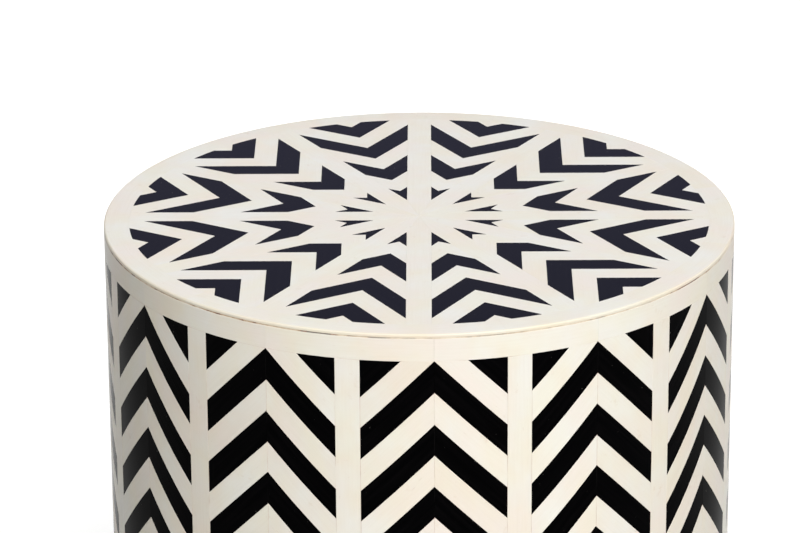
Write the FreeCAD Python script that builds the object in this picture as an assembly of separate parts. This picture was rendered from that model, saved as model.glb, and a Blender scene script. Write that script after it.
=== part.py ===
import FreeCAD, Part
import math
import os

# Round drum side table, covered with bone and black strips on a core of wooden staves.
# Millimetres, +Z up, origin on the floor under the middle of the drum, front towards -Y.
# Angles are in degrees, counted from the front towards the right.

# Overall sizes
table_diameter = 400.0
table_height = 450.0
panel_count = 12
side_turn = 2.6  # how far the side panels are turned past the spokes of the top

# Side inlay
band_height = 14.9
stile_width = 15.4
side_strip_width = 14.4
side_strip_slope = 45.0  # fall of a strip from the centre line of its panel
thinnest_inlay = 2.5  # at the ridges between two staves
least_foot_height = 12.0  # a lower rest above the base band joins the strip before it

# Top inlay
top_inlay_thickness = 2.6
rim_width = 16.0
rim_chamfer = 1.2
spoke_width = 15.5
dart_length = 17.4
edge_piece_depth = 8.5
top_strip_angle = 45.0  # between an arm of a chevron and the axis of its sector
dark_run_share = 0.507
star_courses = ("inner", "middle", "outer")

# Wooden core
stave_thickness = 16.0
board_thickness = 18.0
cleat_width = 38.0
cleat_depth = 24.0
cleat_height = 24.0
cleat_count = 4

# Square cut nails
nail_width = 2.8
nail_head_width = 5.6
nail_head_height = 1.2
board_nail_length = 36.0
foot_nail_length = 16.0
foot_nail_recess = 1.0

# Foot pads
foot_count = 4
foot_width = 30.0
foot_height = 4.0
foot_inset = 45.0  # from the side of the table to the middle of a pad

overrun = 2.0

# Sizes that follow from these
outer_radius = table_diameter / 2
panel_pitch = 360 / panel_count
half_pitch = panel_pitch / 2
stave_count = 2 * panel_count
stile_half_angle = math.degrees(math.asin(stile_width / 2 / outer_radius))
panel_half_angle = half_pitch - stile_half_angle
ridge_radius = outer_radius - thinnest_inlay
stile_back_share = stile_width / 2 / (ridge_radius * math.sin(math.radians(half_pitch)))
stave_inner_flat = ridge_radius * math.cos(math.radians(half_pitch / 2)) - stave_thickness
stave_inner_radius = stave_inner_flat / math.cos(math.radians(half_pitch / 2))
cleat_radius = stave_inner_flat - cleat_depth / 2
star_radius = outer_radius - rim_width
core_bottom = foot_height
core_top = table_height - top_inlay_thickness
field_bottom = core_bottom + band_height
field_top = core_top - band_height


def around(radius, degrees):
    turn = math.radians(degrees)
    return FreeCAD.Vector(radius * math.sin(turn), -radius * math.cos(turn), 0)


def turned(shape, degrees):
    copy = shape.copy()
    copy.rotate(FreeCAD.Vector(), FreeCAD.Vector(0, 0, 1), degrees)
    return copy


def ring_of(shape, count, first):
    return [turned(shape, first + 360 * index / count) for index in range(count)]


def flat_face(corners):
    return Part.Face(Part.makePolygon(corners + corners[:1]))


# An outline in plan, carried from one height to another.
def prism(corners, low, high):
    section = flat_face(corners)
    section.translate(FreeCAD.Vector(0, 0, low))
    return section.extrude(FreeCAD.Vector(0, 0, high - low))


# A block that faces the front, with its middle at the given distance from the drum's axis.
def block(width, depth, radius, low, high):
    left = -width / 2
    right = width / 2
    front = -radius - depth / 2
    back = -radius + depth / 2
    corners = [
        FreeCAD.Vector(left, front, 0),
        FreeCAD.Vector(right, front, 0),
        FreeCAD.Vector(right, back, 0),
        FreeCAD.Vector(left, back, 0),
    ]
    return prism(corners, low, high)


def save(name, solids):
    Part.makeCompound(solids).exportStep("parts/" + name + ".step")


# The point at a share of the way from the ridge in front to the next ridge on one side.
def stave_point(side, share):
    ridge = around(ridge_radius, 0)
    return ridge + (around(ridge_radius, side * half_pitch) - ridge) * share


# One half of a side panel: a flat back on its stave, and a face dressed round in two flats.
def half_panel(side):
    corners = [
        around(ridge_radius, 0),
        around(outer_radius, 0),
        around(outer_radius, side * panel_half_angle / 2),
        around(outer_radius, side * panel_half_angle),
        stave_point(side, 1 - stile_back_share),
    ]
    return prism(corners, field_bottom, field_top)


# The strip of a half panel between two sloping cuts, given by their heights on the centre line.
def side_strip(blank, side, upper, lower):
    slope = math.tan(math.radians(side_strip_slope))
    front = -outer_radius - overrun
    inner = -overrun
    outer = outer_radius * math.sin(math.radians(half_pitch))
    corners = [
        FreeCAD.Vector(side * inner, front, upper - inner * slope),
        FreeCAD.Vector(side * outer, front, upper - outer * slope),
        FreeCAD.Vector(side * outer, front, lower - outer * slope),
        FreeCAD.Vector(side * inner, front, lower - inner * slope),
    ]
    slab = flat_face(corners).extrude(FreeCAD.Vector(0, outer_radius, 0))
    return blank.common(slab).Solids[0]


# Heights on the centre line of the cuts between strips, from the top down.
def side_cuts():
    drop = side_strip_width / math.cos(math.radians(side_strip_slope))
    count = math.ceil((field_top - field_bottom - least_foot_height) / drop)
    return [field_top + drop - index * drop for index in range(count + 1)]


# Chevrons that point up: a dark triangle in each upper corner, then bone and dark in turn.
def side_panels():
    cuts = side_cuts()
    above_all = cuts[0] + table_diameter
    below_all = field_bottom - overrun
    bone = []
    dark = []
    for side in (1, -1):
        blank = half_panel(side)
        corner = side_strip(blank, side, above_all, cuts[0])
        strips = [side_strip(blank, side, upper, lower)
                  for upper, lower in zip(cuts, cuts[1:] + [below_all])]
        bone += strips[0::2]
        dark += [corner] + strips[1::2]
    for index in range(panel_count):
        angle = side_turn + index * panel_pitch
        save("panel_%02d_bone_strips" % (index + 1), [turned(strip, angle) for strip in bone])
        save("panel_%02d_dark_strips" % (index + 1), [turned(strip, angle) for strip in dark])


def side_stiles():
    corners = [
        around(ridge_radius, 0),
        stave_point(-1, stile_back_share),
        around(outer_radius, -stile_half_angle),
        around(outer_radius, stile_half_angle),
        stave_point(1, stile_back_share),
    ]
    stile = prism(corners, field_bottom, field_top)
    for index, copy in enumerate(ring_of(stile, panel_count, side_turn + half_pitch)):
        save("stile_%02d" % (index + 1), [copy])


# Bone bands above and below the panels, in pieces that end on the panels' centre lines.
def side_bands():
    face_angles = [
        -half_pitch,
        -half_pitch + panel_half_angle / 2,
        -stile_half_angle,
        stile_half_angle,
        half_pitch - panel_half_angle / 2,
        half_pitch,
    ]
    face = [around(outer_radius, angle) for angle in face_angles]
    back = [around(ridge_radius, angle) for angle in (half_pitch, 0, -half_pitch)]
    first = side_turn + half_pitch
    save("top_band", ring_of(prism(face + back, field_top, core_top), panel_count, first))
    save("base_band", ring_of(prism(face + back, core_bottom, field_bottom), panel_count, first))


# A piece of the top, outlined by distances out along its axis and across it, and cut round at the rim.
def star_piece(outline):
    disc = Part.makeCylinder(star_radius, top_inlay_thickness, FreeCAD.Vector(0, 0, core_top))
    corners = [FreeCAD.Vector(across, -along, 0) for along, across in outline]
    return prism(corners, core_top, table_height).common(disc).Solids[0]


# A chevron between two cuts, given by their places on the sector's axis, and held by the spokes.
def chevron(near, far):
    lean = math.tan(math.radians(half_pitch))
    arm = 1 / math.tan(math.radians(top_strip_angle))
    spoke_edge = spoke_width / 2 / math.cos(math.radians(half_pitch))
    near_across = (near * lean - spoke_edge) / (1 - arm * lean)
    far_across = (far * lean - spoke_edge) / (1 - arm * lean)
    near_along = near + arm * near_across
    far_along = far + arm * far_across
    return [
        (near, 0),
        (near_along, near_across),
        (far_along, far_across),
        (far, 0),
        (far_along, -far_across),
        (near_along, -near_across),
    ]


def top_spokes():
    half_width = spoke_width / 2
    mitre = half_width / math.tan(math.radians(half_pitch))
    beyond = star_radius + overrun
    outline = [
        (0, 0),
        (mitre, half_width),
        (beyond, half_width),
        (beyond, -half_width),
        (mitre, -half_width),
    ]
    save("top_spokes", ring_of(star_piece(outline), panel_count, 0))


# Between two spokes, from the centre out: a dart, bone and dark chevrons in turn, and an edge piece.
def top_sectors():
    wedge = spoke_width / 2 / math.sin(math.radians(half_pitch))
    dart_end = wedge + dart_length
    dart_tip, dart_notch, dart_other_tip = chevron(wedge, dart_end)[2:5]
    dart = star_piece([(wedge, 0), dart_tip, dart_notch, dart_other_tip])
    save("top_darts", ring_of(dart, panel_count, half_pitch))

    run = (star_radius - edge_piece_depth - dart_end) / len(star_courses)
    start = dart_end
    for course in star_courses:
        dark_start = start + run * (1 - dark_run_share)
        bone = star_piece(chevron(start, dark_start))
        dark = star_piece(chevron(dark_start, start + run))
        save("top_bone_chevrons_" + course, ring_of(bone, panel_count, half_pitch))
        save("top_dark_chevrons_" + course, ring_of(dark, panel_count, half_pitch))
        start += run

    beyond = star_radius + overrun
    spread = (beyond - start) * math.tan(math.radians(top_strip_angle))
    edge_piece = star_piece([(start, 0), (beyond, spread), (beyond, -spread)])
    save("top_edge_pieces", ring_of(edge_piece, panel_count, half_pitch))


# Bone ring round the star, in pieces that end on the sectors' axes.
def top_rim():
    profile = [
        (star_radius, core_top),
        (outer_radius, core_top),
        (outer_radius, table_height - rim_chamfer),
        (outer_radius - rim_chamfer, table_height),
        (star_radius, table_height),
    ]
    section = flat_face([FreeCAD.Vector(0, -radius, height) for radius, height in profile])
    piece = section.revolve(FreeCAD.Vector(), FreeCAD.Vector(0, 0, 1), panel_pitch)
    save("top_rim", ring_of(piece, panel_count, half_pitch))


def drum_staves():
    corners = [
        around(ridge_radius, 0),
        around(ridge_radius, half_pitch),
        around(stave_inner_radius, half_pitch),
        around(stave_inner_radius, 0),
    ]
    stave = prism(corners, core_bottom, core_top)
    save("drum_staves", ring_of(stave, stave_count, side_turn))


# A nail that stands on its head, or hangs from it where the length is negative.
def nail(radius, head_face, length):
    head_height = math.copysign(nail_head_height, length)
    head = block(nail_head_width, nail_head_width, radius, head_face, head_face + head_height)
    shank = block(nail_width, nail_width, radius, head_face, head_face + length)
    return head.fuse(shank).removeSplitter().Solids[0]


# A board that closes the drum, the cleats that hold it and the nails that join them.
# The board is given by its outer face, and inwards is 1 where the drum lies above that face.
def drum_end(name, outer_face, inwards, nails_beside):
    inner_face = outer_face + inwards * board_thickness
    cleat_end = inner_face + inwards * cleat_height
    first = side_turn + half_pitch / 2
    nails = ring_of(nail(cleat_radius, outer_face, inwards * board_nail_length), cleat_count, first)
    cleat_low, cleat_high = sorted((inner_face, cleat_end))
    cleat = block(cleat_width, cleat_depth, cleat_radius, cleat_low, cleat_high)
    cleats = [blank.cut(pin).Solids[0] for blank, pin in zip(ring_of(cleat, cleat_count, first), nails)]
    ridge_angles = [side_turn + index * half_pitch for index in range(stave_count)]
    board_low, board_high = sorted((outer_face, inner_face))
    board = prism([around(stave_inner_radius, angle) for angle in ridge_angles], board_low, board_high)
    save(name + "_board", board.cut(nails + nails_beside).Solids)
    save(name + "_cleats", cleats)
    save(name + "_board_nails", nails)


# Pads under the base, each on a nail whose head lies deeper than the floor face.
def feet():
    radius = outer_radius - foot_inset
    first = 180 / foot_count
    foot_nail = nail(radius, foot_nail_recess, foot_nail_length)
    well = block(nail_head_width, nail_head_width, radius, -overrun, foot_nail_recess)
    pad = block(foot_width, foot_width, radius, 0, foot_height).cut([foot_nail, well]).Solids[0]
    foot_nails = ring_of(foot_nail, foot_count, first)
    save("foot_pads", ring_of(pad, foot_count, first))
    save("foot_nails", foot_nails)
    return foot_nails


os.makedirs("parts", exist_ok=True)
side_panels()
side_stiles()
side_bands()
top_spokes()
top_sectors()
top_rim()
drum_staves()
foot_nails = feet()
drum_end("base", core_bottom, 1, foot_nails)
drum_end("top", core_top, -1, [])
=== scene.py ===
import math
import bmesh
import bpy
import numpy as np
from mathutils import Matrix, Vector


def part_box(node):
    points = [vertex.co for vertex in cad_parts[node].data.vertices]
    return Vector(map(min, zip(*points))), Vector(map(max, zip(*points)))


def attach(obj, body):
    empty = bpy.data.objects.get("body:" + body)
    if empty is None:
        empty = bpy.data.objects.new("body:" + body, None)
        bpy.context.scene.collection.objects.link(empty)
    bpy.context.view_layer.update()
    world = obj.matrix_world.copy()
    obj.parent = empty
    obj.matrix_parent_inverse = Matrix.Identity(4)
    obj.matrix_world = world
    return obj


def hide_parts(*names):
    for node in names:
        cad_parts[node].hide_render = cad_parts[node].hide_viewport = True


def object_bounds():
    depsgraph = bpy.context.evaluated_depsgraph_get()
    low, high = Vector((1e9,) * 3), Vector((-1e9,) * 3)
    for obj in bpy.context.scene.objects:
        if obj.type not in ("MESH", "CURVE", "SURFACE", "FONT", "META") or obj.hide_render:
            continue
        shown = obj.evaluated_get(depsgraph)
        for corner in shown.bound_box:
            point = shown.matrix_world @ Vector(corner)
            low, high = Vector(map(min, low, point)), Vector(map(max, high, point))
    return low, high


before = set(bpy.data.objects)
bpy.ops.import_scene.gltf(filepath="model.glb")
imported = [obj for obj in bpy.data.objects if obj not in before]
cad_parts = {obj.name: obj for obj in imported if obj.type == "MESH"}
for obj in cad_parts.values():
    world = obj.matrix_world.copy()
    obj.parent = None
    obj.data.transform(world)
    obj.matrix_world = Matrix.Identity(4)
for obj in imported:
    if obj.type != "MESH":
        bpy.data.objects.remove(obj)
cadLow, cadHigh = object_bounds()
draw = np.random.default_rng(11)
print("frame loaded:", len(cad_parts), "nodes")

# the drum as the frame gives it, metres and radians; angles run from the front (-Y) to the right
drum = dict(
    radius=cadHigh.x,
    top=cadHigh.z,
    inlayFoot=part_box("top_rim")[0].z,
    fieldTop=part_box("top_band")[0].z,
    fieldFoot=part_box("base_band")[1].z,
    foot=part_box("base_band")[0].z,
    panels=sum(name.startswith("stile_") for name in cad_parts),
    turn=math.radians(2.6),  # of the side's panels past the spokes
    thinnest=0.0025,  # inlay over the ridge between two staves
)
pitch = 2 * math.pi / drum["panels"]

# every piece is laid with a hair of room and a slightly eased edge
joint = dict(
    gap=0.00001,
    ease=0.00011,
    topEase=0.00003,
    groove=0.00055,  # under the rim
    merge=0.000002,  # points closer than this are one
    sharp=math.radians(20),  # edges steeper than this aren't smoothed
)


# materials

def newMaterial(name):
    made = bpy.data.materials.new(name)
    made.use_nodes = True
    tree = made.node_tree
    return made, tree, tree.nodes["Principled BSDF"]


def addNode(tree, kind, links=(), **settings):
    # settings name sockets by their label with the spaces left out, or the node's own properties
    node = tree.nodes.new("ShaderNode" + kind)
    sockets = {socket.name.replace(" ", ""): socket for socket in reversed(node.inputs)}
    for label, setting in settings.items():
        if label in sockets:
            sockets[label].default_value = setting
        else:
            setattr(node, label, setting)
    for source, target in links:
        tree.links.new(source, node.inputs[target])
    return node


# colour ramp, its stops given as (place, colour)
def ramp(tree, source, stops):
    node = addNode(tree, "ValToRGB", [(source, "Fac")])
    while len(node.color_ramp.elements) < len(stops):
        node.color_ramp.elements.new(1.0)
    for element, (place, tone) in zip(node.color_ramp.elements, stops):
        element.position = place
        element.color = (*tone, 1)
    return node.outputs["Color"]


# colours go into a Mix node by its sockets 6 and 7, and come out by its socket 2
def mixColours(tree, share, first, second, blend="MIX"):
    node = addNode(tree, "Mix", data_type="RGBA", blend_type=blend)
    for source, target in ((share, 0), (first, 6), (second, 7)):
        if isinstance(source, bpy.types.NodeSocket):
            tree.links.new(source, node.inputs[target])
        else:
            node.inputs[target].default_value = source if target == 0 else (*source, 1)
    return node.outputs[2]


# tint multiplied by a ramp of shares
def shaded(tree, tint, source, stops):
    return mixColours(tree, 1.0, tint, ramp(tree, source, stops), "MULTIPLY")


def stretched(tree, source, scale):
    node = addNode(tree, "Mapping", [(source, "Vector")], Scale=scale)
    return node.outputs["Vector"]


def noise(tree, source, size, detail, roughness=0.55):
    node = addNode(tree, "TexNoise", [(source, "Vector")], Scale=1 / size, Detail=detail,
                   Roughness=roughness)
    return node.outputs["Fac"]


# noise drawn out along a strip, size being its length and its breadth
def streaks(tree, strip, size, detail):
    length, breadth = size
    return noise(tree, stretched(tree, strip, [1 / length, 1 / breadth, 1]), 1.0, detail)


# one range of values carried over to another
def spread(tree, source, given, wanted):
    node = addNode(tree, "MapRange", [(source, "Value")], FromMin=given[0], FromMax=given[1],
                   ToMin=wanted[0], ToMax=wanted[1])
    return node.outputs["Result"]


def reckon(tree, operation, first, second):
    node = addNode(tree, "Math", [(first, 0), (second, 1)], operation=operation)
    return node.outputs["Value"]


def times(tree, first, second):
    return reckon(tree, "MULTIPLY", first, second)


# distance of a place from the origin along a direction
def distanceAlong(tree, place, direction):
    node = addNode(tree, "VectorMath", [(place, 0)], operation="DOT_PRODUCT")
    node.inputs[1].default_value = direction
    return node.outputs["Value"]


def attribute(tree, name):
    return addNode(tree, "Attribute", attribute_name=name).outputs["Fac"]


def bump(tree, shader, source, height, strength):
    node = addNode(tree, "Bump", [(source, "Height")], Distance=height, Strength=strength)
    tree.links.new(node.outputs["Normal"], shader.inputs["Normal"])


# values of the materials: a noise has a size in metres, a detail and a roughness; streaks have a length
# and breadth, and a detail; a share or a roughness has two levels of its noise and what these become;
# stops of colour go by the level of their noise; relief has a height and a strength

# polished bone: clouds of pink and white, yellowed patches, fine grain, pores and brown stains
bone = dict(
    clouds=[(0.37, (0.816, 0.757, 0.690)), (0.49, (0.806, 0.770, 0.701)), (0.62, (0.806, 0.794, 0.740))],
    cloudNoise=(0.045, 3.0, 0.55),
    mellow=[(0.38, (1.0, 0.99, 0.93)), (0.60, (1, 1, 1))],
    mellowNoise=(0.04, 3.0, 0.55),
    grain=[(0.3, (0.98, 0.974, 0.965)), (0.62, (1, 1, 1))],
    grainStreaks=((0.03, 0.0013), 4.0),
    tones=[(0, (0.93, 0.865, 0.74)), (0.3, (0.96, 0.945, 0.925)), (1, (1, 1, 1))],  # yellowest at 0, which the rim's outer wall and round are given
    pore=(0.52, 0.40, 0.28),
    poreStreaks=((0.006, 0.0007), 1.0),
    poreShare=((0.74, 0.82), (0, 0.35)),
    stain=(0.60, 0.47, 0.33),
    stainNoise=(0.011, 4.0, 0.65),
    stainShare=((0.64, 0.80), (0, 0.38)),
    glue=(0.42, 0.15, 0.10),
    glueNoise=(0.016, 4.0, 0.55),
    glueShare=((0.40, 0.64), (0.05, 1.0)),
    roughness=((0.3, 0.7), (0.42, 0.33)),
    polish=0.1,
    relief=(0.0001, 0.12),
)


def boneMaterial():
    made, tree, shader = newMaterial("polishedBone")
    place = addNode(tree, "TexCoord").outputs["Object"]
    strip = addNode(tree, "UVMap", uv_map="strip").outputs["UV"]
    grain = streaks(tree, strip, *bone["grainStreaks"])
    tint = ramp(tree, noise(tree, place, *bone["cloudNoise"]), bone["clouds"])
    tint = shaded(tree, tint, noise(tree, strip, *bone["mellowNoise"]), bone["mellow"])
    tint = shaded(tree, tint, grain, bone["grain"])
    tint = shaded(tree, tint, attribute(tree, "tone"), bone["tones"])
    pores = streaks(tree, strip, *bone["poreStreaks"])
    tint = mixColours(tree, spread(tree, pores, *bone["poreShare"]), tint, bone["pore"])
    stains = noise(tree, place, *bone["stainNoise"])
    tint = mixColours(tree, spread(tree, stains, *bone["stainShare"]), tint, bone["stain"])
    patchy = spread(tree, noise(tree, place, *bone["glueNoise"]), *bone["glueShare"])
    tint = mixColours(tree, times(tree, attribute(tree, "joint"), patchy), tint, bone["glue"])
    tree.links.new(tint, shader.inputs["Base Color"])
    tree.links.new(spread(tree, grain, *bone["roughness"]), shader.inputs["Roughness"])
    shader.inputs["Specular IOR Level"].default_value = bone["polish"]
    bump(tree, shader, grain, *bone["relief"])
    return made


# black horn: faint streaks, a few pale specks, and filler that shows a little in some of the joints
horn = dict(
    grain=[(0.42, (0.0006, 0.0006, 0.0008)), (0.78, (0.0024, 0.0021, 0.0024))],
    grainStreaks=((0.06, 0.0025), 4.0),
    speck=(0.16, 0.15, 0.14),
    speckNoise=(0.0016, 1.0, 0.55),
    speckShare=((0.79, 0.83), (0, 0.7)),
    filler=(0.026, 0.024, 0.024),
    fillerNoise=(0.03, 3.0, 0.55),
    fillerShare=((0.46, 0.68), (0, 1)),
    sidePolish=0.006,
    topPolish=0.022,
    roughness=((0.3, 0.7), (0.11, 0.16)),
    relief=(0.0001, 0.05),
)


def hornMaterial(name, polish):
    made, tree, shader = newMaterial(name)
    place = addNode(tree, "TexCoord").outputs["Object"]
    strip = addNode(tree, "UVMap", uv_map="strip").outputs["UV"]
    grain = streaks(tree, strip, *horn["grainStreaks"])
    tint = ramp(tree, grain, horn["grain"])
    specks = noise(tree, place, *horn["speckNoise"])
    tint = mixColours(tree, spread(tree, specks, *horn["speckShare"]), tint, horn["speck"])
    patchy = spread(tree, noise(tree, place, *horn["fillerNoise"]), *horn["fillerShare"])
    tint = mixColours(tree, times(tree, attribute(tree, "joint"), patchy), tint, horn["filler"])
    tree.links.new(tint, shader.inputs["Base Color"])
    tree.links.new(spread(tree, grain, *horn["roughness"]), shader.inputs["Roughness"])
    shader.inputs["Specular IOR Level"].default_value = polish
    bump(tree, shader, grain, *horn["relief"])
    return made


# glue in the seam under the rim: dark to pale in short runs, wiped clean over longer stretches;
# less wiped towards the left, which is painted shade there and painted light towards the right
glueSeam = dict(
    runs=[
        (0.39, (0.028, 0.023, 0.022)),
        (0.44, (0.22, 0.10, 0.06)),
        (0.50, (0.52, 0.37, 0.23)),
        (0.63, (0.74, 0.64, 0.50)),
    ],
    runStretch=(1, 1, 0.2),
    runNoise=(0.013, 4.0, 0.6),
    wiped=(0.79, 0.71, 0.59),
    wipedNoise=(0.11, 2.0, 0.55),
    wipedShare=((0.40, 0.58), (0.2, 0.95)),
    asideShare=((-0.17, 0.06), (0.1, 1.0)),  # by the place from left to right, in metres: painted shade, the seam kept darker towards the left
    roughness=((0.3, 0.7), (0.75, 0.5)),
    polish=0.3,
)


def glueMaterial():
    made, tree, shader = newMaterial("brownGlue")
    place = addNode(tree, "TexCoord").outputs["Object"]
    runs = noise(tree, stretched(tree, place, glueSeam["runStretch"]), *glueSeam["runNoise"])
    tint = ramp(tree, runs, glueSeam["runs"])
    wiped = spread(tree, noise(tree, place, *glueSeam["wipedNoise"]), *glueSeam["wipedShare"])
    # painted light and shade: the wiped share falls towards the left, so the seam is darker on the left and
    # paler on the right
    aside = spread(tree, distanceAlong(tree, place, (1, 0, 0)), *glueSeam["asideShare"])
    tint = mixColours(tree, times(tree, wiped, aside), tint, glueSeam["wiped"])
    tree.links.new(tint, shader.inputs["Base Color"])
    tree.links.new(spread(tree, runs, *glueSeam["roughness"]), shader.inputs["Roughness"])
    shader.inputs["Specular IOR Level"].default_value = glueSeam["polish"]
    return made


# sawn wood of the core: dark and light tints, and a stretch that sets the grain's run along x, y and z
wood = dict(
    stave=dict(dark=(0.22, 0.13, 0.07), light=(0.46, 0.31, 0.18), stretch=(1.0, 1.0, 0.08)),
    board=dict(dark=(0.16, 0.095, 0.05), light=(0.36, 0.235, 0.135), stretch=(0.07, 1.0, 1.0)),
    figureNoise=(0.012, 5.0, 0.6),
    figureLevels=(0.32, 0.7),  # of the dark and the light tint
    ringShape=dict(Scale=28.0, Distortion=5.0, Detail=3.0, DetailScale=1.4),
    ringLevels=(0.1, 0.8),
    ringShare=0.45,
    poreNoise=(0.002, 2.0, 0.55),
    poreShare=((0.55, 0.75), (0, 0.5)),
    poreDepth=0.45,  # of the dark tint
    roughness=((0.3, 0.7), (0.78, 0.6)),
    relief=(0.0003, 0.35),
)


def woodMaterial(name, piece):
    made, tree, shader = newMaterial(name)
    place = addNode(tree, "TexCoord").outputs["Object"]
    run = stretched(tree, place, piece["stretch"])
    figure = noise(tree, run, *wood["figureNoise"])
    rings = addNode(tree, "TexWave", [(run, "Vector")], **wood["ringShape"]).outputs["Fac"]
    tints = (piece["dark"], piece["light"])
    tint = ramp(tree, figure, list(zip(wood["figureLevels"], tints)))
    ringTint = ramp(tree, rings, list(zip(wood["ringLevels"], tints)))
    tint = mixColours(tree, wood["ringShare"], tint, ringTint)
    pores = noise(tree, run, *wood["poreNoise"])
    pore = tuple(wood["poreDepth"] * part for part in piece["dark"])
    tint = mixColours(tree, spread(tree, pores, *wood["poreShare"]), tint, pore)
    tree.links.new(tint, shader.inputs["Base Color"])
    tree.links.new(spread(tree, figure, *wood["roughness"]), shader.inputs["Roughness"])
    bump(tree, shader, pores, *wood["relief"])
    return made


# cut steel of the nails, browned in spots
steel = dict(
    bloom=[(0.4, (0.42, 0.41, 0.40)), (0.66, (0.20, 0.12, 0.08))],
    bloomNoise=(0.002, 4.0, 0.55),
    roughness=((0.35, 0.7), (0.35, 0.75)),
    metal=0.9,
    relief=(0.0001, 0.3),
)


def steelMaterial():
    made, tree, shader = newMaterial("cutSteel")
    place = addNode(tree, "TexCoord").outputs["Object"]
    bloom = noise(tree, place, *steel["bloomNoise"])
    tree.links.new(ramp(tree, bloom, steel["bloom"]), shader.inputs["Base Color"])
    tree.links.new(spread(tree, bloom, *steel["roughness"]), shader.inputs["Roughness"])
    shader.inputs["Metallic"].default_value = steel["metal"]
    bump(tree, shader, bloom, *steel["relief"])
    return made


# matt black moulded pads, with a fine pebble on the surface and a little dust in it
pad = dict(
    pebble=[(0.3, (0.012, 0.011, 0.011)), (0.75, (0.055, 0.051, 0.048))],
    pebbleNoise=(0.0009, 5.0, 0.7),
    roughness=((0.3, 0.7), (0.85, 0.98)),
    polish=0.2,
    relief=(0.0004, 0.6),
)


def padMaterial():
    made, tree, shader = newMaterial("mouldedPad")
    place = addNode(tree, "TexCoord").outputs["Object"]
    pebble = noise(tree, place, *pad["pebbleNoise"])
    tree.links.new(ramp(tree, pebble, pad["pebble"]), shader.inputs["Base Color"])
    tree.links.new(spread(tree, pebble, *pad["roughness"]), shader.inputs["Roughness"])
    shader.inputs["Specular IOR Level"].default_value = pad["polish"]
    bump(tree, shader, pebble, *pad["relief"])
    return made


boneFinish = boneMaterial()
hornFinish = hornMaterial("blackHorn", horn["sidePolish"])
topHornFinish = hornMaterial("polishedHorn", horn["topPolish"])
glueFinish = glueMaterial()
staveFinish = woodMaterial("sawnStave", wood["stave"])
boardFinish = woodMaterial("sawnBoard", wood["board"])
steelFinish = steelMaterial()
padFinish = padMaterial()
print("materials made")


# meshes

# numbers of the points round a grid of points, once round its border
def gridLoop(along, across):
    number = np.arange(along * across).reshape(along, across)
    return np.concatenate([number[:-1, 0], number[-1, :-1], number[:0:-1, -1], number[0, :0:-1]])


# faces of one closed slab: face grid, eased edge down to the shoulder, walls, back grid
def slabFaces(along, across):
    number = np.arange(along * across).reshape(along, across)
    quads = np.stack([number[:-1, :-1], number[1:, :-1], number[1:, 1:], number[:-1, 1:]], -1)
    quads = quads.reshape(-1, 4)
    loop = gridLoop(along, across)
    nextLoop = np.roll(loop, -1)
    shoulder = along * across + np.arange(len(loop))
    nextShoulder = np.roll(shoulder, -1)
    back = along * across + len(loop)
    ease = np.stack([loop, shoulder, nextShoulder, nextLoop], -1)
    walls = np.stack([shoulder, back + loop, back + nextLoop, nextShoulder], -1)
    return np.concatenate([quads, ease, walls, back + quads[:, ::-1]])


# mesh with its strip map, tones and joints; the collapsed points of a tip are merged
def meshObject(name, points, faces, strip, tone, worn, material):
    mesh = bpy.data.meshes.new(name)
    mesh.from_pydata(points, [], faces)
    corner = np.empty(len(mesh.loops), np.int32)
    mesh.loops.foreach_get("vertex_index", corner)
    mesh.uv_layers.new(name="strip").uv.foreach_set("vector", strip[corner].astype(np.float32).ravel())
    for label, numbers in (("tone", tone), ("joint", worn)):
        mesh.attributes.new(label, "FLOAT", "POINT").data.foreach_set("value", numbers.astype(np.float32))
    shape = bmesh.new()
    shape.from_mesh(mesh)
    bmesh.ops.remove_doubles(shape, verts=shape.verts, dist=joint["merge"])
    bmesh.ops.recalc_face_normals(shape, faces=shape.faces)
    shape.to_mesh(mesh)
    shape.free()
    mesh.shade_smooth()
    mesh.set_sharp_from_angle(angle=joint["sharp"])
    mesh.materials.append(material)
    made = bpy.data.objects.new(name, mesh)
    bpy.context.scene.collection.objects.link(made)
    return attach(made, "root")


# the inlay's looks; a tone between lowTone and highTone is drawn for each piece, and shows on bone only
sideBone = dict(slot="bone_inlay", finish=boneFinish, lowTone=0.3, highTone=1.0)
sideBlack = dict(slot="black_inlay", finish=hornFinish, lowTone=0.0, highTone=1.0)
topBone = dict(slot="bone_inlay", finish=boneFinish, lowTone=0.62, highTone=0.82)
topBlack = dict(slot="black_inlay", finish=topHornFinish, lowTone=0.0, highTone=1.0)

# how the pieces differ: tones follow a beta draw of this shape, and each piece's grain starts elsewhere
variety = dict(toneShape=(3, 1.6), grainShift=9.0)


def drawTones(look, count):
    return look["lowTone"] + (look["highTone"] - look["lowTone"]) * draw.beta(*variety["toneShape"], count)


def drawGrainStarts(count):
    return draw.uniform(0, variety["grainShift"], (count, 1, 2))


# pieces from matching grids of shape (pieces, along, across, 3); strip runs along each piece in metres
def inlay(node, look, face, shoulder, back, strip, worn):
    count, along, across = face.shape[:3]
    loop = gridLoop(along, across)
    points = np.concatenate([face.reshape(count, -1, 3), shoulder.reshape(count, -1, 3)[:, loop],
                             back.reshape(count, -1, 3)], 1)
    faces = slabFaces(along, across) + (points.shape[1] * np.arange(count))[:, None, None]
    run = strip.reshape(count, -1, 2) + drawGrainStarts(count)
    run = np.concatenate([run, run[:, loop], run], 1)
    tone = np.broadcast_to(drawTones(look, (count, 1)), run.shape[:2])
    shares = np.broadcast_to(worn, face.shape[:3]).reshape(count, -1)
    shares = np.concatenate([np.zeros_like(shares), shares[:, loop], np.ones_like(shares)], 1)
    made = meshObject("laid_" + node, points.reshape(-1, 3), faces.reshape(-1, 4), run.reshape(-1, 2),
                      tone.ravel(), shares.ravel(), look["finish"])
    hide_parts(node)


# side of the drum

# point on the drum: x = radius sin angle, y = -radius cos angle
def onDrum(angle, radius, height):
    angle, radius, height = np.broadcast_arrays(angle, radius, height)
    return np.stack([radius * np.sin(angle), -radius * np.cos(angle), height], -1)


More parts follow.
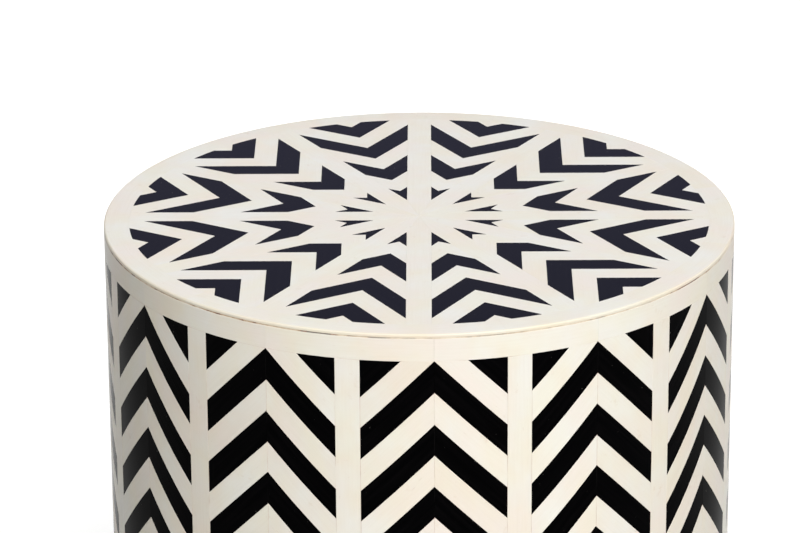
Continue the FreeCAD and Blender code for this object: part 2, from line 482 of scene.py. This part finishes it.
# staves are flats: radius = flat / cosine of the angle from the stave's middle
def staveRadius(angle):
    stave = pitch / 2
    flat = (drum["radius"] - drum["thinnest"]) * math.cos(stave / 2)
    return flat / np.cos(np.mod(angle - drum["turn"], stave) - stave / 2)


# slab on the side from two outlines, each (angles, heights): the shoulder's and the face's
def sideSlab(node, look, shoulder, face, depth, strip, worn):
    laid = onDrum(face[0], drum["radius"], face[1])
    eased = onDrum(shoulder[0], drum["radius"] - depth, shoulder[1])
    seat = onDrum(shoulder[0], staveRadius(shoulder[0]), shoulder[1])
    inlay(node, look, laid, eased, seat, strip, worn)


chevron = dict(
    width=0.0144,
    slope=math.radians(45),
    leastFoot=0.012,
    unevenness=0.00024,  # of the hand-cut edges
    steps=6,
    endWear=1.0,
    cutWear=0.25,
)
stile = dict(width=0.0154, steps=4, sideWear=1.0, endWear=0.6)
panelHalf = pitch / 2 - math.asin(stile["width"] / 2 / drum["radius"])


# heights on the centre line of the cuts between strips, from the top down
def stripCuts():
    drop = chevron["width"] / math.cos(chevron["slope"])
    count = math.ceil((drum["fieldTop"] - drum["fieldFoot"] - chevron["leastFoot"]) / drop)
    return drum["fieldTop"] + drop - drop * np.arange(count + 1)


# half strips of a panel drawn in by inset: angle from the centre line and height of both edges.
# an edge falls from its cut by the sideways distance, radius sin angle, times the slope, and is cut off
# at the field's top and foot; each knee that this makes lies on a grid line
def halfStrips(upper, lower, inset):
    radius = drum["radius"]
    fall = math.tan(chevron["slope"])
    lean = inset / math.cos(chevron["slope"])
    upper, lower = upper - lean, lower + lean
    top, foot = drum["fieldTop"] - inset, drum["fieldFoot"] + inset

    def angleAt(drop):
        return np.arcsin(np.clip(drop / fall / radius, 0, 1))

    start = np.maximum(inset / radius, angleAt(lower - top))
    end = np.minimum(panelHalf - inset / radius, angleAt(upper - foot))
    steps = np.arange(chevron["steps"] + 1)
    angle = start[:, None] + (end - start)[:, None] * steps / chevron["steps"]
    for knee in (angleAt(upper - top), angleAt(lower - foot)):
        inside = (knee > start + lean / radius) & (knee < end - lean / radius)
        nearest = np.rint((knee - start) / (end - start) * chevron["steps"])
        nearest = np.clip(nearest, 1, chevron["steps"] - 1)
        snapped = inside[:, None] & (steps == nearest[:, None])
        angle = np.where(snapped, knee[:, None], angle)
    aside = radius * np.sin(angle) * fall
    lowEdge = np.maximum(lower[:, None] - aside, foot)
    highEdge = np.minimum(upper[:, None] - aside, top)
    return angle[:, :, None], np.stack([lowEdge, highEdge], -1)


# each cut is off by a little, on either half of each panel
def laySidePanels():
    cuts = stripCuts()
    far = drum["top"] * 2  # the first and last strips run on past the field
    cuts = cuts + draw.normal(0, chevron["unevenness"], (drum["panels"], 2, len(cuts)))
    edges = np.pad(cuts, ((0, 0), (0, 0), (1, 1)), constant_values=((0, 0), (0, 0), (far, -far)))
    worn = np.full((chevron["steps"] + 1, 1), chevron["cutWear"])
    worn[[0, -1]] = chevron["endWear"]
    inset = joint["gap"] + joint["ease"]
    for colour, look, first in (("dark", sideBlack, 0), ("bone", sideBone, 1)):
        for index in range(drum["panels"]):
            upper = edges[index, :, first:-1:2].ravel()
            lower = edges[index, :, first + 1::2].ravel()
            outer = halfStrips(upper, lower, joint["gap"])
            inner = halfStrips(upper, lower, inset)
            side = np.repeat([1, -1], len(upper) // 2)[:, None, None]
            aside = drum["radius"] * inner[0]
            strip = np.stack(np.broadcast_arrays(aside / math.cos(chevron["slope"]),
                                                 (inner[1] + aside) * math.cos(chevron["slope"])), -1)
            centre = drum["turn"] + index * pitch
            shoulder = (centre + side * outer[0], outer[1])
            face = (centre + side * inner[0], inner[1])
            sideSlab("panel_%02d_%s_strips" % (index + 1, colour), look, shoulder, face, inset, strip, worn)


# rectangle on the side, drawn in by inset at the sides and by footInset and topInset at its ends
def sideRectangle(middles, halfWidth, foot, top, steps, inset, footInset, topInset):
    reach = halfWidth - inset / drum["radius"]
    angle = np.asarray(middles)[:, None, None] + np.linspace(-reach, reach, steps + 1)[:, None]
    heights = np.broadcast_to([foot + footInset, top - topInset], (len(middles), steps + 1, 2))
    return angle, heights


def laySideStiles():
    halfWidth = math.asin(stile["width"] / 2 / drum["radius"])
    foot, top = drum["fieldFoot"], drum["fieldTop"]
    gap, inset = joint["gap"], joint["gap"] + joint["ease"]
    worn = np.full((stile["steps"] + 1, 2), stile["endWear"])
    worn[[0, -1]] = stile["sideWear"]
    for index in range(drum["panels"]):
        middle = [drum["turn"] + (index + 0.5) * pitch]
        shoulder = sideRectangle(middle, halfWidth, foot, top, stile["steps"], gap, gap, gap)
        face = sideRectangle(middle, halfWidth, foot, top, stile["steps"], inset, inset, inset)
        strip = np.stack(np.broadcast_arrays(face[1], face[0] * drum["radius"]), -1)
        sideSlab("stile_%02d" % (index + 1), sideBone, shoulder, face, inset, strip, worn)


band = dict(steps=14, endWear=0.12, edgeWear=0.8, grooveWear=0.35)


def layBand(node, foot, top, grooveAtTop):
    gap, inset, groove = joint["gap"], joint["gap"] + joint["ease"], joint["groove"]
    endInset = gap + joint["topEase"]
    middles = drum["turn"] + (np.arange(drum["panels"]) + 0.5) * pitch
    footInset, topInset = (inset, groove) if grooveAtTop else (inset, inset)
    shoulder = sideRectangle(middles, pitch / 2, foot, top, band["steps"], gap, gap, gap)
    face = sideRectangle(middles, pitch / 2, foot, top, band["steps"], endInset, footInset, topInset)
    strip = np.stack(np.broadcast_arrays(face[0] * drum["radius"], face[1]), -1)
    depth = np.broadcast_to([footInset, topInset], (band["steps"] + 1, 2))
    worn = np.full((band["steps"] + 1, 2), band["edgeWear"])
    worn[:, 1] = band["grooveWear"]
    worn[[0, -1], 0] = band["endWear"]
    sideSlab(node, sideBone, shoulder, face, depth, strip, worn)


laySidePanels()
laySideStiles()
layBand("top_band", drum["fieldTop"], drum["inlayFoot"], True)
layBand("base_band", drum["foot"], drum["fieldFoot"], False)
print("side laid:", drum["panels"], "panels")


# top of the drum

star = dict(
    radius=0.184,
    spokeWidth=0.0155,
    dartLength=0.0174,
    edgeDepth=0.0085,
    armAngle=math.radians(45),
    darkShare=0.507,
    courses=("inner", "middle", "outer"),
    arcSteps=8,
    spokeSteps=4,
    wear=0.02,
)


# flat slab turned about the axis into every sector: along runs out from the centre, across to the right
def topSlab(node, look, shoulder, face, strip, first):
    angle = (first + np.arange(drum["panels"]) * pitch)[:, None, None]

    def level(outline, height):
        along, across = outline
        x = along * np.sin(angle) + across * np.cos(angle)
        y = -along * np.cos(angle) + across * np.sin(angle)
        return np.stack([x, y, np.full_like(x, height)], -1)

    strips = np.broadcast_to(strip, (drum["panels"], *strip.shape))
    eased = drum["top"] - joint["topEase"] - joint["gap"]
    inlay(node, look, level(face, drum["top"]), level(shoulder, eased), level(shoulder, drum["inlayFoot"]),
          strips, star["wear"])


# chevron between two cuts, by their places on the sector's axis, drawn in by inset.
# a point lies at cut + arm * |across| along the axis; an arm ends where it meets the spoke's edge,
# across = (cut * lean - edge) / (1 - arm * lean), or the star's circle, whichever comes first
def starChevron(near, far, inset):
    lean = math.tan(pitch / 2)
    arm = 1 / math.tan(star["armAngle"])
    halfSpoke = star["spokeWidth"] / 2 + inset
    radius = star["radius"] - inset
    shift = inset / math.sin(star["armAngle"])
    tip = halfSpoke / math.sin(pitch / 2)
    near, far = max(near + shift, tip), min(far - shift, radius)
    meetAlong = math.sqrt(radius ** 2 - halfSpoke ** 2)
    meetCut = (meetAlong * math.cos(pitch / 2) + halfSpoke * math.sin(pitch / 2)
               - arm * (meetAlong * math.sin(pitch / 2) - halfSpoke * math.cos(pitch / 2)))
    knee = min(max(meetCut, near), far)
    share = np.linspace(0, 1, star["arcSteps"] + 1)
    if near < meetCut < far:
        cut = np.concatenate([[near], knee + (far - knee) * share])
    elif meetCut <= near:
        cut = near + (far - near) * share
    else:
        cut = np.array([near, far])
    bySpoke = (cut * lean - halfSpoke / math.cos(pitch / 2)) / (1 - arm * lean)
    byCircle = (np.sqrt((1 + arm ** 2) * radius ** 2 - cut ** 2) - arm * cut) / (1 + arm ** 2)
    across = np.maximum(np.minimum(bySpoke, byCircle), 0) * np.array([-1, 0, 1])[:, None]
    return cut + arm * np.abs(across), across


def layChevron(node, look, near, far):
    shoulder = starChevron(near, far, joint["gap"])
    face = starChevron(near, far, joint["gap"] + joint["topEase"])
    along, across = face
    slant = math.sin(star["armAngle"])
    strip = np.stack([across / slant, (along - np.abs(across)) * slant], -1)
    topSlab(node, look, shoulder, face, strip, pitch / 2)


# spoke from its mitred point at the centre, along = |across| / tan(half a pitch), to the star's circle
def spokeOutline(inset):
    halfWidth = star["spokeWidth"] / 2 - inset
    across = np.linspace(-halfWidth, halfWidth, star["spokeSteps"] + 1)[:, None]
    near = np.abs(across) / math.tan(pitch / 2) + inset / math.sin(pitch / 2)
    far = np.sqrt((star["radius"] - inset) ** 2 - across ** 2)
    along = np.concatenate([near, far], 1)
    return along, np.broadcast_to(across, along.shape)


def layStar():
    shoulder, face = spokeOutline(joint["gap"]), spokeOutline(joint["gap"] + joint["topEase"])
    topSlab("top_spokes", topBone, shoulder, face, np.stack(face, -1), 0)
    wedge = star["spokeWidth"] / 2 / math.sin(pitch / 2)
    start = wedge + star["dartLength"]
    layChevron("top_darts", topBlack, wedge, start)
    run = (star["radius"] - star["edgeDepth"] - start) / len(star["courses"])
    for course in star["courses"]:
        middle = start + run * (1 - star["darkShare"])
        layChevron("top_bone_chevrons_" + course, topBone, start, middle)
        layChevron("top_dark_chevrons_" + course, topBlack, middle, start + run)
        start += run
    layChevron("top_edge_pieces", topBone, start, star["radius"])


rim = dict(
    rounding=0.0012,
    roundSteps=7,
    steps=18,
    lowTone=0.54,
    highTone=0.70,
    edgeTone=0.17,
    endWear=0.06,
    innerWear=0.02,
    grooveWear=0.4,
)


# rim's section drawn in by inset, as distances from the axis and heights: a box with a round
# upper outer edge, an eased inner edge and a groove below
def rimSection(inset):
    ease, groove, rounding = joint["topEase"], joint["groove"], rim["rounding"]
    turn = np.linspace(0, math.pi / 2, rim["roundSteps"] + 1)
    roundX = drum["radius"] - rounding + (rounding - inset) * np.cos(turn)
    roundZ = drum["top"] - rounding + (rounding - inset) * np.sin(turn)
    inner = star["radius"] + joint["gap"] + inset
    outer = drum["radius"] - inset
    foot = drum["inlayFoot"] + joint["gap"] + inset
    head = drum["top"] - inset
    x = np.concatenate([[inner, drum["radius"] - groove, outer], roundX, [inner + ease, inner]])
    z = np.concatenate([[foot, foot, foot + groove], roundZ, [head, head - ease]])
    return x, z


# section carried round the axis, drawn in by the ease at both ends of a piece
def layRim():
    reach = pitch / 2 - joint["gap"] / drum["radius"]
    easedReach = reach - joint["topEase"] / drum["radius"]
    angle = np.linspace(-reach, reach, rim["steps"] + 1)
    angle = np.insert(angle, [1, len(angle) - 1], [-easedReach, easedReach])
    insets = np.zeros(len(angle))
    insets[[0, -1]] = joint["topEase"]
    sections = [rimSection(inset) for inset in insets]
    x, z = (np.array(part) for part in zip(*sections))
    count, along, around = drum["panels"], *x.shape
    middles = (np.arange(count) * pitch)[:, None, None]
    points = onDrum(middles + angle[:, None], x, z)
    number = np.arange(along * around).reshape(along, around)
    ahead = np.roll(number, -1, 1)
    quads = np.stack([number[:-1], ahead[:-1], ahead[1:], number[1:]], -1).reshape(-1, 4)
    shift = along * around * np.arange(count)
    faces = (quads + shift[:, None, None]).reshape(-1, 4).tolist()
    faces += (number[0][::-1] + shift[:, None]).tolist() + (number[-1] + shift[:, None]).tolist()
    unrolled = np.concatenate([[0], np.cumsum(np.hypot(np.diff(x[1]), np.diff(z[1])))])
    run = np.stack(np.broadcast_arrays(angle[:, None] * drum["radius"], unrolled), -1)
    run = run.reshape(1, -1, 2) + drawGrainStarts(count)
    worn = np.zeros((along, around))
    worn[:, [-1, 0]] = rim["innerWear"]
    worn[:, 1] = rim["grooveWear"]
    worn[[0, -1]] = rim["endWear"]
    tone = np.tile(draw.uniform(rim["lowTone"], rim["highTone"], (count, 1, 1)), (1, along, around))
    tone[:, :, 1:-3] = rim["edgeTone"]  # from the groove almost to the upper end of the round
    made = meshObject("laid_top_rim", points.reshape(-1, 3), faces, run.reshape(-1, 2), tone.ravel(),
                      np.tile(worn.ravel(), count), topBone["finish"])
    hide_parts("top_rim")


# glue that fills the groove under the rim: a wedge whose face stands back by an uneven depth,
# depth = mean + unevenness times the mean of some waves round the drum
glueRing = dict(steps=480, depth=0.00014, unevenness=0.00012, waves=(5, 11, 17, 29, 43, 61))


def layGlueRing():
    angle = np.linspace(0, 2 * math.pi, glueRing["steps"], endpoint=False)
    waves = np.array(glueRing["waves"])
    swell = np.sin(angle[:, None] * waves + draw.uniform(0, 2 * math.pi, len(waves))).mean(1)
    depth = glueRing["depth"] + glueRing["unevenness"] * swell
    half = joint["groove"] - depth - 2 * joint["gap"]
    face = drum["radius"] - depth
    apex = drum["radius"] - joint["groove"] + joint["gap"]
    x = np.stack([face, face, np.full_like(face, apex)], 1)
    z = drum["inlayFoot"] + np.stack([-half, half, np.zeros_like(half)], 1)
    points = onDrum(angle[:, None], x, z).reshape(-1, 3)
    number = np.arange(len(points)).reshape(-1, 3)
    ahead, right = np.roll(number, -1, 1), np.roll(number, -1, 0)
    faces = np.stack([number, right, np.roll(right, -1, 1), ahead], -1).reshape(-1, 4)
    run = np.stack(np.broadcast_arrays(angle[:, None] * drum["radius"], z), -1).reshape(-1, 2)
    blank = np.zeros(len(points))
    made = meshObject("glue_under_rim", points, faces, run, blank, blank, glueFinish)


layStar()
layRim()
layGlueRing()
print("top laid:", drum["panels"], "sectors")

# pieces kept from the frame, with their finish
kept = dict(
    drum_staves=staveFinish,
    top_board=boardFinish,
    base_board=boardFinish,
    top_cleats=boardFinish,
    base_cleats=boardFinish,
    top_board_nails=steelFinish,
    base_board_nails=steelFinish,
    foot_nails=steelFinish,
    foot_pads=padFinish,
)
for node, finish in kept.items():
    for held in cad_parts[node].material_slots:
        held.material = finish
print("core finished:", len(kept), "pieces")


# floor, light and camera

# 1 for what the camera, reflections and glass see, 0 for what only lights the drum
def seenDirectly(tree):
    path = addNode(tree, "LightPath").outputs
    share = path["Is Camera Ray"]
    for ray in ("Is Glossy Ray", "Is Transmission Ray"):
        share = reckon(tree, "MAXIMUM", share, path[ray])
    return share


# the floor's own light grows outward from the drum's foot, where the shadow lies, and keeps the floor white
stage = dict(
    reach=14.0,
    rings=24,
    spokes=96,
    colour=(0.44, 0.43, 0.41),
    roughness=0.9,
    polish=0.0,
    ownLight=((0.25, 2.0), (0.70, 1.0)),  # by the distance from the axis, in metres
)


def floorMaterial():
    made, tree, shader = newMaterial("paleFloor")
    shader.inputs["Base Color"].default_value = (*stage["colour"], 1)
    shader.inputs["Roughness"].default_value = stage["roughness"]
    shader.inputs["Specular IOR Level"].default_value = stage["polish"]
    place = addNode(tree, "TexCoord").outputs["Object"]
    away = addNode(tree, "VectorMath", [(place, 0)], operation="LENGTH").outputs["Value"]
    ownLight = times(tree, seenDirectly(tree), spread(tree, away, *stage["ownLight"]))
    glow = addNode(tree, "Emission", [(ownLight, "Strength")])
    both = addNode(tree, "AddShader", [(shader.outputs["BSDF"], 0), (glow.outputs["Emission"], 1)])
    tree.links.new(both.outputs["Shader"], tree.nodes["Material Output"].inputs["Surface"])
    return made


# flat disc: rings of points out from the middle
def layFloor():
    angle = np.linspace(0, 2 * math.pi, stage["spokes"], endpoint=False)
    radius = np.linspace(drum["radius"], stage["reach"], stage["rings"])
    points = onDrum(angle, radius[:, None], 0.0)
    number = np.arange(radius.size * angle.size).reshape(radius.size, angle.size)
    right = np.roll(number, -1, 1)
    quads = np.stack([number[:-1], number[1:], right[1:], right[:-1]], -1).reshape(-1, 4)
    mesh = bpy.data.meshes.new("floor")
    mesh.from_pydata(points.reshape(-1, 3), [], quads.tolist() + [number[0].tolist()])
    mesh.materials.append(floorMaterial())
    floor = bpy.data.objects.new("floor", mesh)
    bpy.context.scene.collection.objects.link(floor)


# seen directly the room is white, with a cool dim ceiling; the light that it gives is low and even
room = dict(
    level=0.12,
    colour=(1.0, 0.975, 0.92),
    ceiling=(0.62, 0.62, 0.98),
    ceilingRise=(0.17, 0.26),  # height of a unit direction
)


def lightRoom():
    world = bpy.data.worlds.new("room")
    world.use_nodes = True
    tree = world.node_tree
    even = tree.nodes["Background"]
    even.inputs["Color"].default_value = (*room["colour"], 1)
    even.inputs["Strength"].default_value = room["level"]
    rise = distanceAlong(tree, addNode(tree, "TexCoord").outputs["Generated"], (0, 0, 1))
    sight = ramp(tree, rise, list(zip(room["ceilingRise"], [(1, 1, 1), room["ceiling"]])))
    white = addNode(tree, "Background", [(sight, "Color")], Strength=1.0)
    mixed = addNode(tree, "MixShader", [(seenDirectly(tree), 0), (even.outputs["Background"], 1),
                                        (white.outputs["Background"], 2)])
    tree.links.new(mixed.outputs["Shader"], tree.nodes["World Output"].inputs["Surface"])
    bpy.context.scene.world = world


# soft boxes, placed by bearing from the front, height above the horizon and distance from the drum;
# the low one behind only fills the shade, and isn't mirrored in the polish
lamps = dict(
    keyBox=dict(
        bearing=17, height=44, distance=9.0, size=5.2, power=1030.0, colour=(1.0, 0.99, 0.98), mirrored=True,
    ),
    overBox=dict(
        bearing=-90, height=86, distance=9.0, size=5.2, power=102.0, colour=(0.62, 0.78, 1.0), mirrored=True,
    ),
    backBox=dict(
        bearing=186, height=4, distance=8.0, size=1.6, power=270.0, colour=(1.0, 0.99, 0.98), mirrored=False,
    ),
)
aimShare = 0.8  # of the drum's height, where the lamps point


def placeLamps():
    aim = np.array([0, 0, drum["top"] * aimShare])
    for name, lamp in lamps.items():
        bearing, height = math.radians(lamp["bearing"]), math.radians(lamp["height"])
        away = onDrum(bearing, math.cos(height), math.sin(height))
        light = bpy.data.lights.new(name, "AREA")
        light.shape = "DISK"
        light.size = lamp["size"]
        light.energy = lamp["power"]
        light.color = lamp["colour"]
        made = bpy.data.objects.new(name, light)
        made.visible_glossy = lamp["mirrored"]
        bpy.context.scene.collection.objects.link(made)
        made.location = aim + away * lamp["distance"]
        made.rotation_euler = Vector(away).to_track_quat("Z", "Y").to_euler()


# camera set for a frame of 800 x 533 pixels; focal is in those pixels
camera = dict(
    frame=800,
    focal=4400,
    tilt=0.37112,
    roll=-0.00641,
    yaw=0.00006,
    place=(-0.0125, -2.6169, 0.9839),  # from the middle of the top
    orbit=0.432,  # degrees about the drum's axis
    sensor=36,
    clip=(0.05, 60),
)


def placeCamera():
    tilt, yaw, roll = camera["tilt"], camera["yaw"], camera["roll"]
    ahead = np.array([math.sin(yaw) * math.cos(tilt), math.cos(yaw) * math.cos(tilt), -math.sin(tilt)])
    level = np.array([math.cos(yaw), -math.sin(yaw), 0])
    above = np.cross(level, ahead)
    right = level * math.cos(roll) + above * math.sin(roll)
    above = np.cross(right, ahead)
    place = np.array(camera["place"]) + [0, 0, drum["top"]]
    turn = math.radians(camera["orbit"])
    spin = np.array([[math.cos(turn), -math.sin(turn), 0], [math.sin(turn), math.cos(turn), 0], [0, 0, 1]])
    lens = bpy.data.cameras.new("photoView")
    lens.sensor_width = camera["sensor"]
    lens.lens = camera["focal"] * lens.sensor_width / camera["frame"]
    lens.clip_start, lens.clip_end = camera["clip"]
    made = bpy.data.objects.new("photoView", lens)
    bpy.context.scene.collection.objects.link(made)
    matrix = np.eye(4)
    matrix[:3, :3] = spin @ np.stack([right, above, -ahead], 1)
    matrix[:3, 3] = spin @ place
    made.matrix_world = Matrix(matrix.tolist())
    bpy.context.scene.camera = made


layFloor()
lightRoom()
placeLamps()
placeCamera()
bpy.context.scene.view_settings.view_transform = "Standard"
print("stage set")

bpy.context.view_layer.update()
